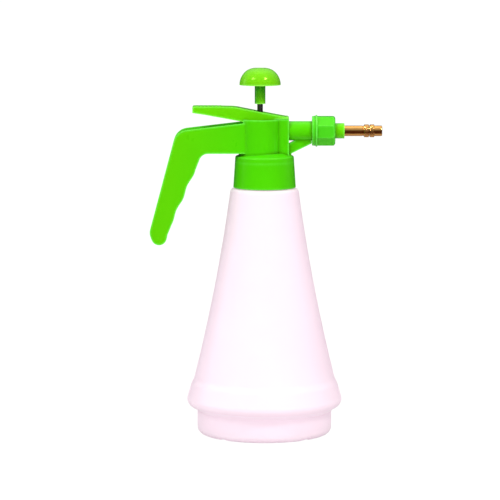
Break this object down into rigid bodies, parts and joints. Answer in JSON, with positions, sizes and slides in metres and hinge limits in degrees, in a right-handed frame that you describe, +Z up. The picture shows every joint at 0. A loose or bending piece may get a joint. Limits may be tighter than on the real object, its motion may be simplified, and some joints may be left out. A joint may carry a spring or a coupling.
{
  "type": "pump sprayer",
  "caption": "Hand compression sprayer: conical bottle, screw-on head with pistol handle, pump knob and rod, thumb lever valve and adjustable nozzle.",
  "frame": {"origin": "centre of the bottle's foot, on the ground", "axes": "+Z up along the bottle's axis, +X the way the nozzle points, +Y across the handle"},
  "size_m": [0.1803, 0.121, 0.286],
  "materials": {
    "green_plastic": "gloss",
    "lime_plastic": "gloss",
    "nut_plastic": "gloss",
    "bottle_plastic": "satin",
    "clear_plastic": "satin",
    "white_plastic": "satin",
    "brass": "turned",
    "steel": "polished",
    "dark_steel": "blackened and polished",
    "knob_plastic": "gloss",
    "rubber": "matte"
  },
  "bodies": {
    "bottle": {"bottle": "bottle_plastic"},
    "neck_seal": {"neck_gasket": "rubber"},
    "head": {"head_body": "green_plastic", "pump_cylinder": "clear_plastic", "check_valve": "rubber", "rod_guide": "green_plastic", "rod_wiper": "rubber", "dip_tube": "clear_plastic", "intake_filter": "white_plastic", "lever_pin": "steel", "valve_gland": "green_plastic", "gland_oring": "rubber", "gland_washer": "steel"},
    "piston_seal": {"piston_oring": "rubber"},
    "plunger": {"pump_rod": "dark_steel", "pump_knob": "knob_plastic", "piston": "white_plastic", "piston_nut": "steel"},
    "lever": {"trigger_lever": "lime_plastic"},
    "valve": {"valve_stem": "brass", "valve_seal": "rubber", "valve_spring": "steel"},
    "nozzle": {"nozzle_adapter": "lime_plastic", "nozzle_barrel": "brass", "swirl_core": "brass", "nozzle_washer": "rubber"},
    "nut": {"nozzle_nut": "nut_plastic"},
    "tip_seal": {"tip_oring": "rubber"},
    "tip": {"nozzle_tip": "brass"}
  },
  "joints": [
    {"name": "head_lift", "type": "slide", "parent": "bottle", "child": "neck_seal", "axis": [0, 0, 1], "range_m": [0, 0.01]},
    {"name": "head_unscrew", "type": "hinge", "parent": "neck_seal", "child": "head", "pos_m": [0, 0, 0.205], "axis": [0, 0, 1], "range_deg": [0, 720]},
    {"name": "pump_slide", "type": "slide", "parent": "head", "child": "piston_seal", "axis": [0, 0, 1], "range_m": [-0.015, 0.065]},
    {"name": "knob_spin", "type": "hinge", "parent": "piston_seal", "child": "plunger", "pos_m": [-0.0035, 0, 0.25], "axis": [0, 0, 1], "continuous": true},
    {"name": "lever_pivot", "type": "hinge", "parent": "head", "child": "lever", "pos_m": [0.0025, 0, 0.243], "axis": [0, -1, 0], "range_deg": [0, 7.5], "stiffness_Nm_per_rad": 0.35, "springref_deg": -11.46},
    {"name": "valve_lift", "type": "slide", "parent": "head", "child": "valve", "axis": [0, 0, 1], "range_m": [0, 0.0015], "deforming": ["valve_spring"]},
    {"name": "nozzle_slide", "type": "slide", "parent": "head", "child": "nozzle", "axis": [1, 0, 0], "range_m": [0, 0.008]},
    {"name": "nut_turn", "type": "hinge", "parent": "nozzle", "child": "nut", "pos_m": [0.045, 0, 0.2372], "axis": [1, 0, 0], "range_deg": [0, 1440]},
    {"name": "tip_slide", "type": "slide", "parent": "nozzle", "child": "tip_seal", "axis": [1, 0, 0], "range_m": [-0.00019, 0.00225]},
    {"name": "tip_turn", "type": "hinge", "parent": "tip_seal", "child": "tip", "pos_m": [0.085, 0, 0.2372], "axis": [1, 0, 0], "range_deg": [-90, 1080]}
  ],
  "couplings": [
    {"joint": "head_lift", "follows": "head_unscrew", "m_per_rad": 0.00079577},
    {"joint": "valve_lift", "follows": "lever_pivot", "m_per_rad": 0.0105},
    {"joint": "nut_turn", "follows": "nozzle_slide", "rad_per_m": 3141.6},
    {"joint": "tip_turn", "follows": "tip_slide", "rad_per_m": 8377.5}
  ]
}
